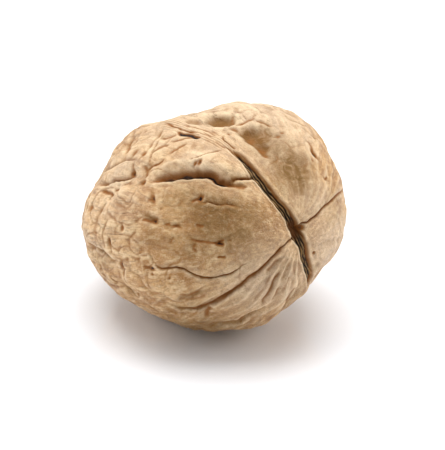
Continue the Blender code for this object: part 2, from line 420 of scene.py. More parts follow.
crease([(59.5, -53.7), (58, -53.4), (56.5, -53.8)], 0.28, 0.16, dark=0.75, stray=0.05)
cup((54.5, -53.4), (0.75, 0.28), 0.3, dark=0.8, sharp=1.7, stain_and_shade_share=0.6, skew=-0.3)
cup((52.8, -54), (0.35, 0.22), 0.2, dark=0.6, sharp=1.7)
cup((57, -53), (2.2, 0.9), 0.12, dark=0.0, stain_and_shade_share=0.5)
crease([(63, -45.8), (61.5, -45.3), (59.8, -45.8)], 0.18, 0.18, dark=0.4, stray=0.05)
crease([(56, -64), (55.5, -63), (54.3, -60)], 0.18, 0.18, dark=0.4, stray=0.02)

# Long folds of the lower cheek, all running from the stem end.
crease(
    [
        (67, -67), (65.5, -70), (64, -73), (62.5, -76), (60.5, -78), (58, -78.5), (55.5, -79), (53, -79.5),
        (51, -80.5), (49, -84), (47, -87.5), (45, -90), (42, -93), (39.5, -94), (36.5, -94), (33.5, -95),
        (27, -94.5), (22, -93),
    ],
    0.45, 0.17, dark=0.68, over=0.14, swell=0.2, brink=0.06, stray=0.03, wide=1.4,
)
crease(
    [
        (4, -130), (8.5, -114), (11, -112), (15, -111.5), (18.5, -112.5), (25.5, -112.5), (33.5, -113.5),
        (41, -113.5), (47.5, -113), (54.5, -112.5), (58.5, -111), (63.5, -108), (66, -103.5), (67.2, -100),
        (67.5, -95),
    ],
    0.55, 0.24, dark=0.58, over=0.1, swell=0.2, brink=0.14, bank=0.5, stray=0.03, wide=1.6,
    run_on=(True, False),
)
cup((42, -113.5), (2.6, 0.4), 0.2, dark=0.62, sharp=2.0)
crease([(51, -113.5), (54.5, -116.5), (57, -119.5), (58.5, -124)], 0.4, 0.35, dark=0.5, stray=0.05)
crease(
    [
        (43, -150), (45.5, -148.5), (48, -146), (51, -144.5), (55, -143.5), (58, -142.5), (59.5, -138),
        (61.5, -133.5), (65, -132), (72, -130),
    ],
    0.9, 0.3, dark=0.85, over=0.3, swell=0.25, brink=-0.35, bank=0.5, stray=0.03, wide=1.8,
)
crease([(13, -124), (21, -121.5), (24, -124)], 0.28, 0.3, dark=0.4, stray=0.04)
crease(
    [(17, -139), (24, -137), (28, -138), (33.5, -141), (38.5, -142.5), (44, -146)],
    0.38, 0.3, dark=0.42, over=-0.08, stray=0.04,
)
crease([(22, -153), (26, -152), (33, -151)], 0.2, 0.2, dark=0.35, stray=0.04)
crease([(28, -145.5), (32, -147), (39, -149.5)], 0.24, 0.2, dark=0.4, stray=0.04)
crease([(20, -130), (28, -130.5), (36, -132), (42, -134)], 0.22, 0.3, dark=0.3, stray=0.05)
crease([(14, -161), (22, -161), (30, -160)], 0.16, 0.24, dark=0.22, stray=0.04)
crease([(14, -148), (20, -147), (27, -146)], 0.16, 0.24, dark=0.22, stray=0.04)
ridge([(14, -133), (22, -132.5), (30, -135), (38, -138)], 0.14, 0.35)
ridge([(14, -155), (22, -156), (31, -156), (40, -158)], 0.16, 0.4)
ridge([(16, -143), (24, -143), (31, -144), (38, -145.5)], 0.12, 0.3)
crease(
    [(31.5, -176.5), (33.5, -172), (35.5, -167.5), (40.5, -166), (48.5, -168), (57, -170)],
    0.6, 0.3, dark=0.6, over=0.3, swell=0.12, stray=0.03, wide=1.4,
)
cup((42, -175), (3.0, 1.6), 0.25, dark=0.0, stain_and_shade_share=0.5)
cup((53, -100), (2.4, 0.55), 0.15, dark=0.25, stain_and_shade_share=0.7)
crease([(59, -96.5), (56, -97.5), (52, -99.5), (48, -99)], 0.15, 0.2, dark=0.45, stray=0.1)
crease([(60, -99), (56, -101.5), (51, -103.5), (47, -102.5)], 0.15, 0.2, dark=0.4, stray=0.1)

# The crinkled side of that cheek.
crease(
    [
        (81, -33), (84, -32.7), (85.5, -34), (88.5, -35), (94, -35.5), (98.5, -36.5), (102.5, -38),
        (105, -39), (114, -40.5),
    ],
    0.65, 0.2, dark=0.6, over=0.35, swell=0.28, brink=0.1, bank=0.6, stray=0.04, wide=2.2,
)
cup((86, -31), (0.55, 0.5), 0.5, dark=0.9, sharp=1.7)
cup((77, -34), (0.4, 0.45), 0.45, dark=0.9, sharp=1.7)
ridge([(85.5, -25), (83.5, -29), (80.5, -33)], 0.2, 0.22)
ridge([(83.5, -25), (81.5, -28.5), (79, -32)], 0.2, 0.2)
crease([(81.5, -25), (79, -28), (76.5, -31.5)], 0.3, 0.2, dark=0.5, stray=0.03)
crease([(88, -25.5), (86.5, -28.5), (84, -31)], 0.25, 0.2, dark=0.3, stray=0.03)
crease([(108, -41.5), (101, -42.5), (96, -44.3)], 0.5, 0.28, dark=0.6, stray=0.04, run_on=(False, True))
cup((96.2, -44.3), (0.6, 0.42), 0.55, dark=0.95, sharp=1.8, skew=-0.3)
crease([(96.5, -41.8), (94, -40.5), (91, -39.3)], 0.3, 0.18, dark=0.5, over=0.1, stray=0.02)
cup((109, -52), (1.0, 0.6), 0.3, dark=0.45)
cup((114.5, -52.5), (0.5, 0.5), 0.25, dark=0.4)
cup((98.5, -52), (0.45, 0.4), 0.22, dark=0.55, sharp=1.8)
cup((89, -66.2), (0.4, 0.5), 0.5, dark=0.85, sharp=1.7)
crease([(89, -67), (88.3, -69), (88, -72)], 0.25, 0.2, dark=0.4, stray=0.03)
cup((80, -57.5), (0.4, 0.6), 0.35, dark=0.75, sharp=1.7)
crease(
    [(85, -78), (90, -77.8), (93.5, -77), (95, -76), (98.5, -74.5), (102, -73.5), (107, -72.5), (117.5, -74)],
    0.95, 0.3, dark=0.8, over=0.5, swell=0.45, brink=-0.25, bank=0.4, stray=0.04, wide=2.2,
)
cup((101, -79), (2.6, 1.3), 0.4, dark=0.0, stain_and_shade_share=0.35)
cup((85, -79), (0.6, 0.6), 0.6, dark=0.9, sharp=1.8)
crease([(83, -78.5), (83, -80.5), (84, -82.5), (84.5, -84.5)], 0.45, 0.24, dark=0.75, over=-0.1, stray=0.03)
crease([(86, -77.5), (82, -75.5), (79.5, -74), (76, -72.3)], 0.3, 0.28, dark=0.35, stray=0.04)
crease([(77.5, -71.5), (75, -72), (72, -72.6), (69.5, -72)], 0.22, 0.24, dark=0.35, over=0.06, stray=0.03)
cup((65.5, -78), (0.5, 0.35), 0.4, dark=1.1, sharp=1.8)
crease([(70, -76.6), (68.3, -77), (66, -78)], 0.25, 0.2, dark=0.6, stray=0.02)
cup((65.5, -81.5), (0.25, 0.25), 0.2, dark=0.6)
cup((58.5, -84.5), (0.25, 0.22), 0.15, dark=0.6)
crease([(98, -86.5), (96.5, -88), (95.5, -90.5), (93.5, -92.5)], 0.3, 0.2, dark=0.55, over=0.08, stray=0.03)
crease([(106, -96.5), (103, -96), (99, -94.7), (93.5, -95)], 0.35, 0.22, dark=0.6, over=0.08, stray=0.03)
crease([(105, -86), (104, -87.5), (101.5, -90)], 0.3, 0.18, dark=0.45, stray=0.03)
cup((87, -95.5), (1.0, 0.8), 0.3, dark=0.25, stain_and_shade_share=0.4)
crease([(83.5, -97), (82, -95.5), (80.5, -93)], 0.22, 0.18, dark=0.45, stray=0.03)
crease([(90.5, -71.5), (93, -67), (93.5, -62), (91, -57), (88, -54)], 0.2, 0.22, dark=0.3, stray=0.08)
crease([(93, -48), (90, -52), (85, -54), (82, -58)], 0.18, 0.2, dark=0.28, stray=0.1)
crease([(75, -44), (79, -47), (85, -47), (90, -44.5)], 0.18, 0.2, dark=0.3, stray=0.1)
crease([(71, -57), (74, -60), (76, -65), (75, -69)], 0.2, 0.22, dark=0.35, stray=0.08)
cup((105, -61), (2.8, 2.4), -0.3, dark=0.0)
cup((76, -45), (1.6, 1.2), -0.2, dark=0.0)
cup((86, -41), (1.2, 0.9), -0.25, dark=0.0)
cup((70, -63), (1.6, 1.4), -0.18, dark=0.0)

# The upper fold's far, crinkled end.
crease(
    [(108, -12), (107, -13.5), (104, -17), (101.5, -19.5), (102.5, -22)],
    0.5, 0.32, dark=0.5, swell=0.15, stray=0.04,
)
cup((92, -20.3), (0.7, 0.6), 0.35, dark=0.5, sharp=1.8, stain_and_shade_share=0.3)
cup((84.8, -21), (0.6, 0.4), 0.35, dark=0.65, sharp=1.8)
crease(
    [
        (86, -23.5), (90, -24.8), (95, -24.5), (100.5, -25), (103.5, -27), (107.5, -29.5), (110.5, -31),
        (118, -34),
    ],
    0.55, 0.26, dark=0.55, over=0.3, swell=0.2, brink=0.05, bank=0.5, stray=0.05, wide=2.0,
)

# Cups and veins of the upper cheek beside the seam.
cup((71.5, 13.8), (1.9, 1.55), 1.05, dark=0.25, sharp=3.2, skew=-0.3, stain_and_shade_share=0.95)
cup((67.4, 12), (0.7, 1.0), 0.25, dark=0.25)
ridge([(76, 9.5), (72, 8.3), (68, 7.6), (65.3, 9), (64.2, 12.5), (65.5, 16.5), (68, 18)], 0.34, 0.24)
cup((80, 5.8), (1.7, 0.7), 0.35, dark=0.15, sharp=3.0, stain_and_shade_share=0.35)
crease([(84, 4.4), (82, 3.8), (79, 3.5), (76.5, 4.5)], 0.22, 0.15, dark=0.5, stray=0.02)
crease([(72.5, 21), (70, 19), (67, 18.8)], 0.22, 0.2, dark=0.45, stray=0.02)
crease(
    [(66, 17), (64.5, 21), (64.5, 24.5), (64.7, 27), (66.5, 29.5), (68.5, 33)],
    0.28, 0.16, dark=0.55, over=0.06, stray=0.03,
)
crease([(64.5, 26.5), (62, 30), (60.5, 32.5), (57.5, 35.5)], 0.28, 0.16, dark=0.5, over=0.08, stray=0.03)
ridge([(66.5, 5), (64, 9.5), (61.5, 12), (60, 16), (62, 20)], 0.15, 0.3)
cup((62.7, 14), (0.7, 0.9), 0.25, dark=0.4, stain_and_shade_share=0.4)
cup((58.5, 20), (1.2, 1.6), 0.55, dark=0.25, stain_and_shade_share=1.0)
cup((54.8, 19.7), (1.3, 1.2), 0.6, dark=0.4, stain_and_shade_share=1.0, skew=0.4)
cup((53, 25.5), (2.4, 1.7), 0.55, dark=0.22, stain_and_shade_share=1.0, skew=0.5)
cup((49, 22), (1.5, 0.9), 0.35, dark=0.25, stain_and_shade_share=0.9, skew=-0.5)
cup((46.5, 20.5), (1.2, 0.9), 0.5, dark=0.5, stain_and_shade_share=1.0)
cup((42.4, 18.5), (0.9, 0.6), 0.4, dark=0.45, stain_and_shade_share=0.9)
cup((38, 21.5), (1.8, 0.9), 0.2, dark=0.1, stain_and_shade_share=0.6)
cup((47.5, 13.5), (1.8, 0.8), -0.1, dark=0.0)
cup((60, 9), (0.3, 0.25), 0.15, dark=0.6)
cup((51, 34), (0.35, 0.4), 0.25, dark=0.5, sharp=1.8)
cup((52.5, 38), (0.3, 0.4), 0.2, dark=0.5, sharp=1.8)
crease([(50, 52), (48, 54), (45, 56.2), (42.3, 57.8)], 0.3, 0.16, dark=0.85, stray=0.02, run_on=(False, True))
cup((42.2, 58), (0.75, 0.42), 0.6, dark=1.4, sharp=1.8, skew=-0.5)
crease([(54.5, 57.5), (55, 60), (55.5, 63.5), (55, 68)], 0.28, 0.16, dark=0.6, over=0.08, stray=0.03)
crease([(29.5, 69.5), (31.5, 73), (34, 74)], 0.3, 0.18, dark=0.75, stray=0.02)
cup((37.5, 56), (0.25, 0.2), 0.12, dark=0.6)
ridge([(33, 12), (30, 13), (27.5, 13.5), (23, 12.5)], 0.1, 0.22)
crease(
    [
        (3, 60), (5, 70), (7.5, 85), (10, 87), (13, 90), (16, 90.5), (19.5, 91), (24, 94), (29, 95),
        (42, 100), (53, 103),
    ],
    0.5, 0.24, dark=0.7, over=-0.18, swell=0.14, brink=0.05, stray=0.03, run_on=(True, False), wide=1.2,
)
cup((18, 165), (0.3, 0.24), 0.25, dark=0.85, sharp=1.8)
cup((28, 168.5), (1.1, 0.9), 0.15, dark=0.0, stain_and_shade_share=0.45)
cup((31, 32), (3.0, 2.4), 0.2, dark=0.0, stain_and_shade_share=0.65)
cup((24, 40), (1.4, 1.4), 0.1, dark=0.0, stain_and_shade_share=0.3)

ridge([(31.5, 56), (27.5, 65.5), (19, 69), (10, 85)], 0.16, 0.6)
ridge([(31.5, 77), (24, 78), (18.5, 78.5), (12, 82)], 0.12, 0.45)
ridge([(44, 63), (38, 68), (31.5, 70), (22, 73)], 0.1, 0.4)
crease([(38, 44), (28.5, 45.5), (20.5, 42), (13, 40)], 0.3, 1.1, dark=0.0)
crease([(33, 84), (26, 85), (19, 85)], 0.12, 0.4, dark=0.0)
ridge([(12.5, 119.5), (17.5, 128.5), (23, 126), (30, 118)], 0.14, 0.5)
crease([(12, 140), (20, 142), (30, 138), (38, 134)], 0.16, 0.6, dark=0.1)

# Folds of the lighter skin on the upper fold, running over it to its edge.
crease(
    [(85, -4), (84.5, -8), (84, -12), (82.5, -16.5), (80, -21), (78.5, -25), (78, -29)],
    0.22, 0.13, dark=0.35, over=0.05, stray=0.03,
)
ridge([(74, -27), (69.5, -22.5), (64.5, -19), (60.5, -16), (56.5, -9.5), (54, -3)], 0.16, 0.3)

# Low knobs at the lower right, beyond the crease from the stem end.
for place, size, rise in (
    ((31, 120), 0.6, 0.12),
    ((33, 127), 0.5, -0.12),
    ((30, 131), 0.7, 0.14),
    ((35, 136), 0.5, -0.1),
    ((32, 141), 0.8, 0.16),
    ((41, 124), 0.9, 0.14),
    ((46, 133), 1.1, 0.16),
    ((37, 149), 0.8, 0.15),
    ((27, 112), 0.7, 0.1),
    ((52, 122), 1.0, 0.15),
):
    cup(place, (size, size * 0.7), -rise, dark=0.0, sharp=2.0, skew=0.3)

# Brown clouds, partly stain where the green husk clung longest and partly painted shade: the middle of the
# lower cheek, round the upper hollows, and below.
for place, size, stain_and_shade_share in (
    ((34, -46), (5.0, 4.2), 0.9),
    ((45, -62), (5.5, 3.0), 0.5),
    ((30, -78), (5.0, 3.5), 0.2),
    ((62, -60), (3.5, 2.0), 0.4),
    ((48, -37), (5.5, 3.0), 0.75),
    ((31, 35), (4.5, 3.4), 1.0),
    ((44, 27), (5.0, 3.5), 0.65),
    ((50, -128), (5.0, 3.0), 0.2),
    ((75, -130), (7.0, 5.0), 0.85),
    ((30, -147), (2.5, 2.5), 0.1),
    ((60, -110), (5.0, 2.0), 0.35),
    ((27, 102), (3.5, 2.5), 0.35),
    ((35, 150), (5.0, 5.0), 0.1),
):
    cup(place, size, 0.0, dark=0.0, stain_and_shade_share=stain_and_shade_share)

# Seam. What lies across it is measured in millimetres from its wandering middle line, + toward the +Y cheek.
from_seam, is_upper = seam_share(turn_deg)
THREAD_PITCH = 0.29
RIDGE_PITCH = 0.36
GAP_DEPTH = 1.05
girth = HALF_AXES[1] * np.sin(stem_angle)
across = girth * np.radians(np.clip(from_seam - drift, -60, 60)) * np.where(is_upper, 1.0, -1.0)
along = np.radians(stem_deg) * LENGTH_RADIUS
gape = np.where(is_upper, 1.0 - ease(stem_deg, 46, 54), 1.0 - ease(stem_deg, 36, 46))
half_gap = np.where(
    is_upper,
    np.interp(stem_deg, [0, 5, 9, 14, 30, 42, 48, 54], [0.8, 0.72, 0.6, 0.5, 0.48, 0.47, 0.42, 0.3]),
    np.interp(stem_deg, [0, 5, 9, 14, 22, 30, 36, 44], [0.8, 0.72, 0.62, 0.56, 0.56, 0.44, 0.34, 0.15]),
)
half_gap = half_gap * (1.0 + 0.06 * np.sin(along * 1.7) + 0.04 * np.sin(along * 3.9 + 1.0))
# The wall toward the -Y cheek is steep with a sharp lip; the other is rounded and brown.
inside = np.where(
    across < 0,
    1.0 - ease(-across, half_gap - 0.08, half_gap + 0.08),
    1.0 - ease(across, half_gap - 0.12, half_gap + 0.32),
)
# The bottom of the gap is filled with dried fibres laid side by side, with dark slits between them.
weave = across / THREAD_PITCH + 0.2 * np.sin(along * 0.9) + 0.1 * np.sin(along * 2.3 + 1.0) + 0.5 * ~is_upper
thread = 0.5 + 0.5 * np.cos(weave * 2 * math.pi)
thread_number = np.round(weave)
broken = np.sin(along * 1.9 + thread_number * 2.1) * np.sin(along * 0.8 + thread_number * 1.3)
thread = thread * (0.72 + 0.28 * broken) * ease(stem_deg, 0, 6)
height -= gape * inside * (GAP_DEPTH - 0.6 * thread)
strand = np.maximum(strand, gape * inside * ease(thread, 0.3, 0.85))
height += 0.16 * gape * np.exp(-(((across + half_gap + 0.2) / 0.16) ** 2))
height += 0.10 * gape * np.exp(-(((across - half_gap - 0.6) / 0.25) ** 2))
# The open slot is painted dark brown to near-black, painted shade with some dirt, and the rounded wall beside
# it is browned.
shade_and_dirt = np.maximum(shade_and_dirt, gape * ease(inside, 0.35, 0.8) * (0.74 + 0.26 * ease(stem_deg, 3, 9)))
shade_and_dirt = np.maximum(shade_and_dirt, 0.45 * gape * np.exp(-(((across - half_gap - 0.15) / 0.3) ** 2)))
# Past the gap the halves are shut: a low keel with fine ridges laid side by side.
keel = np.exp(-((across / 1.5) ** 2)) * ease(stem_deg, 40, 60)
ripple = np.cos(across * 2 * math.pi / RIDGE_PITCH + 0.9 * np.sin(along * 0.7) + 0.4 * np.sin(along * 1.9))
height += (1.0 - gape) * keel * (0.2 + 0.07 * ripple)
# The furrows between the fine ridges are painted darker, as painted shade.
shade_and_dirt = np.maximum(shade_and_dirt, 0.4 * (1.0 - gape) * keel * ease(-ripple, 0.5, 1.0))
crease(
    [(48, 2), (51.5, 1.5), (53, 1), (55, 0), (57.5, 0), (62, 0.5), (65.5, 0.5), (69.5, -1)],
    0.38, 0.13, dark=0.8, stray=0.02, run_on=(True, False),
)
crease(
    [(67, -0.2), (69.5, -1), (72, -1.5), (74.5, -2.3), (78.5, -2.5), (83, -2.4), (88, -1.5), (95, -0.5)],
    0.38, 0.14, dark=0.8, stray=0.02,
)
crease(
    [(65, -2.3), (68.5, -3.5), (71, -3.5), (73.5, -4), (76, -5), (80, -4)],
    0.55, 0.2, dark=1.35, stray=0.02,
)
cup((68.7, -3.5), (0.45, 0.22), 0.3, dark=1.3, sharp=1.8)
crease(
    [(49, 4.2), (51, 4), (53, 3.5), (55.5, 3.5), (58, 4), (59.5, 5), (61.5, 7)],
    0.34, 0.16, dark=0.6, over=0.05, stray=0.02,
)
crease(
    [(58.8, 3.2), (61.5, 2.5), (64.5, 3), (69, 2.6), (71.5, 1.7), (74.5, 1.5), (78, 0.6), (83, 1)],
    0.32, 0.15, dark=0.6, stray=0.02,
)
crease([(60, 4), (62, 4.2), (65, 4.4), (68, 3.8)], 0.22, 0.14, dark=0.45, stray=0.02)
crease([(55, -1.8), (60, -2), (65, -2.6)], 0.2, 0.12, dark=0.4, stray=0.02)
for turn in (0, 180):
    for offset, first in ((-2.2, 94), (0.2, 100), (2.4, 90)):
        places = [(stem, turn + offset + rng.uniform(-0.7, 0.7)) for stem in range(first, 176, 10)]
        crease(places, 0.25, 0.16, dark=0.45, stray=0.06)

# Long folds of the far cheek and of the tip's half.
for turn, first, last, bow in (
    (62, 84, 155, 9),
    (86, 70, 140, -8),
    (112, 66, 158, 8),
    (137, 70, 130, -9),
    (159, 82, 150, 6),
    (32, 102, 160, 6),
    (-28, 128, 165, -5),
    (-62, 130, 165, 6),
    (-96, 128, 165, -6),
    (-126, 98, 160, 8),
    (-152, 92, 155, -7),
):
    places = [
        (stem, turn + bow * math.sin((stem - first) / 16.0) + rng.uniform(-1.5, 1.5))
        for stem in range(first, last, 9)
    ]
    crease(places, 0.5, 0.26, dark=0.55, over=0.15, swell=0.3, brink=0.08, wide=2.0, bank=0.45, stray=0.06)
for place in ((95, 75), (110, 99), (88, 124), (120, 128), (140, 75), (132, 148), (112, 45)):
    cup(place, (0.8, 0.5), 0.4, dark=0.6, sharp=1.8, skew=rng.uniform(-0.5, 0.5), stain_and_shade_share=0.3)

# The stem scar, where the four creases meet.
cup((3, 95), (0.75, 0.65), 0.45, dark=0.8, sharp=3.0)

# The skin between. Crumpled folds with sharp valleys on the side and the far parts, calmer cheeks near the
# stem end, wandering veins, and fibres that fan out from the stem and run the nut's length.


def round_place(place, size):
    """1 at a place, fading out over the size in millimetres."""
    return np.exp(-((np.linalg.norm(egg - on_egg(place), axis=1) / size) ** 2))


calm = np.zeros(count)
for place, size, share in (
    ((38, -60), 11.5, 1.0),
    ((60, -62), 5.0, 1.0),
    ((30, 70), 12.0, 0.95),
    ((30, 150), 9.0, 0.95),
    ((62, -18), 7.0, 0.95),
    ((99, -29), 4.5, 0.7),
    ((86, -13), 5.5, 0.75),
):
    calm = np.maximum(calm, share * round_place(place, size))
below_crease = ease(turn_deg, -180, -172) * (1.0 - ease(turn_deg, -118, -106))
calm = np.maximum(calm, 0.95 * below_crease * (1.0 - ease(stem_deg, 45, 62)))
seam_band = np.exp(-((across / 2.0) ** 4)) * (1.0 - ease(stem_deg, 100, 130))
calm = np.maximum(calm, seam_band)
rough = 1.0 - calm
spread = 9.0 * np.maximum(np.sin(stem_angle), 1e-4) ** 0.6
fan = np.stack([np.cos(turn_angle) * spread, np.sin(turn_angle) * spread, along * 0.11], axis=1)
fibre = np.empty(count)
fine = np.empty(count)
folds = np.empty(count)
vein = np.empty(count)
lumps = np.empty(count)
for index in range(count):
    spot = Vector(felt[index])
    drawn = Vector((felt[index, 0] * 0.42, felt[index, 1], felt[index, 2]))
    bend = noise.noise_vector(spot * 0.22) * 0.8
    folds[index] = abs(noise.noise(drawn * 0.24 + bend * 0.7)) + 0.3 * abs(noise.noise(drawn * 0.55 + bend))
    vein[index] = noise.noise(drawn * 0.24 - bend * 0.8)
    lumps[index] = noise.fractal(spot * 0.5, 0.8, 2.0, 4)
    flow = Vector(fan[index]) + bend * 0.9
    fibre[index] = noise.noise(flow)
    fine[index] = noise.noise(flow * 2.6) + 0.7 * noise.noise(spot * 2.2)
away_from_stem = ease(stem_deg, 12, 34)

# Flutes that fan out over the lower cheek from the corner of the seam, and fainter ones over the upper cheek.
flute_turn = turn_deg + 3.0 * np.sin(along * 0.55 + 1.0) + 5.0 * uneven[:, 1]
on_lower = ease(turn_deg, -176, -168) * (1.0 - ease(turn_deg, -126, -116))
on_lower = on_lower * ease(stem_deg, 9, 18) * (1.0 - ease(stem_deg, 46, 60))
on_upper = ease(turn_deg, 30, 45) * (1.0 - ease(turn_deg, 86, 92))
on_upper = on_upper * ease(stem_deg, 6, 16) * (1.0 - ease(stem_deg, 34, 60))
for region, pitch, rise in ((on_lower, 11.0, 0.17), (on_upper, 9.0, 0.07)):
    height += rise * region * (1.0 - 2.0 * np.abs(np.sin(np.radians(flute_turn * 180.0 / pitch))) ** 0.8)

# Folds, veins, lumps and fibres, weaker where the skin is calm.
FOLD_HEIGHT = 0.5
FIBRE_HEIGHT = 0.06
FINE_HEIGHT = 0.022
veins = np.exp(-((vein / 0.045) ** 2)) * (0.45 + 0.55 * ease(lumps, -0.3, 0.3)) * away_from_stem
plain = (1.0 - 0.75 * seam_band) * (1.0 - 0.6 * on_lower)
height += FOLD_HEIGHT * rough * away_from_stem * (folds - 0.27)
height -= plain * (0.05 + 0.12 * rough) * veins
height += plain * (0.06 + 0.07 * rough) * lumps
height += plain * FIBRE_HEIGHT * fibre
height += plain * FINE_HEIGHT * fine
crevice = np.exp(-((folds / 0.07) ** 2)) * rough * away_from_stem
# Vein channels and the valleys of the folds are painted darker, as painted shade.
shade_and_dirt = np.maximum(shade_and_dirt, np.maximum(0.26 * veins, 0.4 * crevice))

# Lay the work on the base: out along its normals, with the swollen backs of the folds rubbed smooth and the
# overhanging ones slid sideways.
height += rub(swelling, 40)
mesh = shell.data
mesh.vertices.foreach_set("co", (base / 1000).ravel())
mesh.update()
normals = np.empty(count * 3)
mesh.vertex_normals.foreach_get("vector", normals)
normals = normals.reshape(-1, 3)
sculpted = base + normals * height[:, None] + slide
placed = sculpted @ TURN.T + MIDDLE
placed[:, 2] = np.maximum(placed[:, 2], 0.0)
mesh.vertices.foreach_set("co", (placed / 1000).ravel())
mesh.update()
bpy.ops.object.shade_smooth()

# Hollows are painted darker as painted shade, ridges paler as painted highlight, and upward faces paler as
# painted highlight beside a few listed pale places; all are kept with the mesh for the finish, with the
# places of the fibres.
# Upward faces are painted paler as a painted highlight, less on the front of the lower cheek; a few listed
# places are paler skin.
up_facing = (normals @ TURN.T)[:, 2]
lit_top_and_pale_places = ease(up_facing, 0.55, 1.0) * (1.0 - 0.7 * round_place((38, -55), 12.0))
for place, size, share in (
    ((78, 30), 8.0, 0.75),
    ((58, -12), 4.5, 0.9),
    ((95, -35), 9.0, 0.7),
    ((28, 145), 7.0, 0.95),
    ((27, -132), 7.0, 1.0),
    ((18, 62), 4.5, 0.9),
):
    lit_top_and_pale_places = np.maximum(lit_top_and_pale_places, share * round_place(place, size))
# Small and broad hollows are painted darker, as painted shade, and ridges paler, as painted highlight.
lie = rub(height, 10) - height
broad_lie = rub(height, 120) - height
for name, values in (
    ("shade_and_dirt", np.clip(shade_and_dirt, 0.0, 1.0)),
    ("stain_and_shade", np.clip(stain_and_shade, 0.0, 1.0)),
    ("strand", np.clip(strand, 0.0, 1.0)),
    ("hollow_shade", np.clip(lie / 0.12, 0.0, 1.0)),
    ("ridge_highlight", np.clip(-lie / 0.08, 0.0, 1.0)),
    ("broad_hollow_shade", np.clip(broad_lie / 0.4, 0.0, 1.0)),
    ("lit_top_and_pale_places", lit_top_and_pale_places),
    ("crinkled", rough * away_from_stem),
):
    mesh.attributes.new(name, "FLOAT", "POINT").data.foreach_set("value", values.astype(np.float32))
fibre_place = (fan + uneven * 0.35).astype(np.float32)
mesh.attributes.new("fibre_place", "FLOAT_VECTOR", "POINT").data.foreach_set("vector", fibre_place.ravel())
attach(shell, "root")
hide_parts("walnut")


def linear(code):
    """An sRGB hex colour as linear red, green, blue and alpha."""
    parts = [int(code[place : place + 2], 16) / 255 for place in (1, 3, 5)]
    return [part / 12.92 if part <= 0.04045 else ((part + 0.055) / 1.055) ** 2.4 for part in parts] + [1.0]


def add(tree, kind, links=None, **settings):
    """A node with its settings, and its inputs set to values or joined to other nodes' outputs."""
    made = tree.nodes.new(kind)
    for name, value in settings.items():
        setattr(made, name, value)
    for socket, source in (links or {}).items():
        if isinstance(source, bpy.types.NodeSocket):
            tree.links.new(source, made.inputs[socket])
        else:
            made.inputs[socket].default_value = source
    return made


# Dried walnut shell: hard, fine-grained wood, unvarnished, tan with ochre and pinkish clouds, with painted
# shade brown in the creases and near-black in the open seam, and painted highlight on ridges and upward
# faces.
# Scales are in patterns per millimetre.
finish = bpy.data.materials.new("dried walnut shell")
finish.use_nodes = True
tree = finish.node_tree
surface = tree.nodes["Principled BSDF"]
where = add(tree, "ShaderNodeTexCoord").outputs["Object"]
MM_PER_M = 1000
even = add(tree, "ShaderNodeMapping", {"Vector": where, "Scale": (MM_PER_M, MM_PER_M, MM_PER_M)}).outputs[0]
flow = add(tree, "ShaderNodeAttribute", attribute_name="fibre_place").outputs["Vector"]
shade_and_dirt_in, stain_and_shade_in, strand_in, hollow_shade_in, ridge_highlight_in, broad_hollow_shade_in, lit_top_and_pale_places_in, crinkled_in = [
    add(tree, "ShaderNodeAttribute", attribute_name=name).outputs["Fac"]
    for name in ("shade_and_dirt", "stain_and_shade", "strand", "hollow_shade", "ridge_highlight", "broad_hollow_shade", "lit_top_and_pale_places", "crinkled")
]


def pattern(place, scale, detail, roughness, distortion=0.0):
    """A noise pattern over the skin."""
    settings = {"Vector": place, "Scale": scale, "Detail": detail, "Roughness": roughness}
    settings["Distortion"] = distortion
    return add(tree, "ShaderNodeTexNoise", settings).outputs[0]


def between(factor, low, high):
    """How far the factor lies between low and high, from 0 to 1."""
    ends = {0: factor, 1: low, 2: high}
    return add(tree, "ShaderNodeMapRange", ends, interpolation_type="SMOOTHSTEP").outputs[0]


def blend(factor, first, second):
    """Two colours mixed."""
    return add(tree, "ShaderNodeMix", {0: factor, 6: first, 7: second}, data_type="RGBA").outputs[2]


def times(first, second):
    """Two numbers multiplied."""
    return add(tree, "ShaderNodeMath", {0: first, 1: second}, operation="MULTIPLY").outputs[0]


clouds = pattern(even, 0.2, 5.0, 0.62)
streaks = pattern(flow, 1.0, 7.0, 0.68, 0.5)
specks = pattern(even, 3.0, 5.0, 0.7)
mottle = pattern(even, 0.8, 6.0, 0.7, 0.6)
hairs = pattern(flow, 2.8, 4.0, 0.6)
grain = pattern(even, 6.0, 3.0, 0.7)
# Fine wandering cracks in the skin, thinner than a fold: where a slow noise crosses its middle value.
slow = pattern(flow, 0.75, 2.5, 0.6, 1.2)
near_line = add(tree, "ShaderNodeMath", {0: slow, 1: 0.5}, operation="SUBTRACT").outputs[0]
near_line = add(tree, "ShaderNodeMath", {0: near_line}, operation="ABSOLUTE").outputs[0]
cracks = times(between(near_line, 0.016, 0.004), times(crinkled_in, between(mottle, 0.44, 0.56)))
# The brown of stain and painted shade is blotched by the mottle.
blotched = add(tree, "ShaderNodeMapRange", {0: mottle, 1: 0.35, 2: 0.62, 3: 0.55, 4: 1.15}).outputs[0]

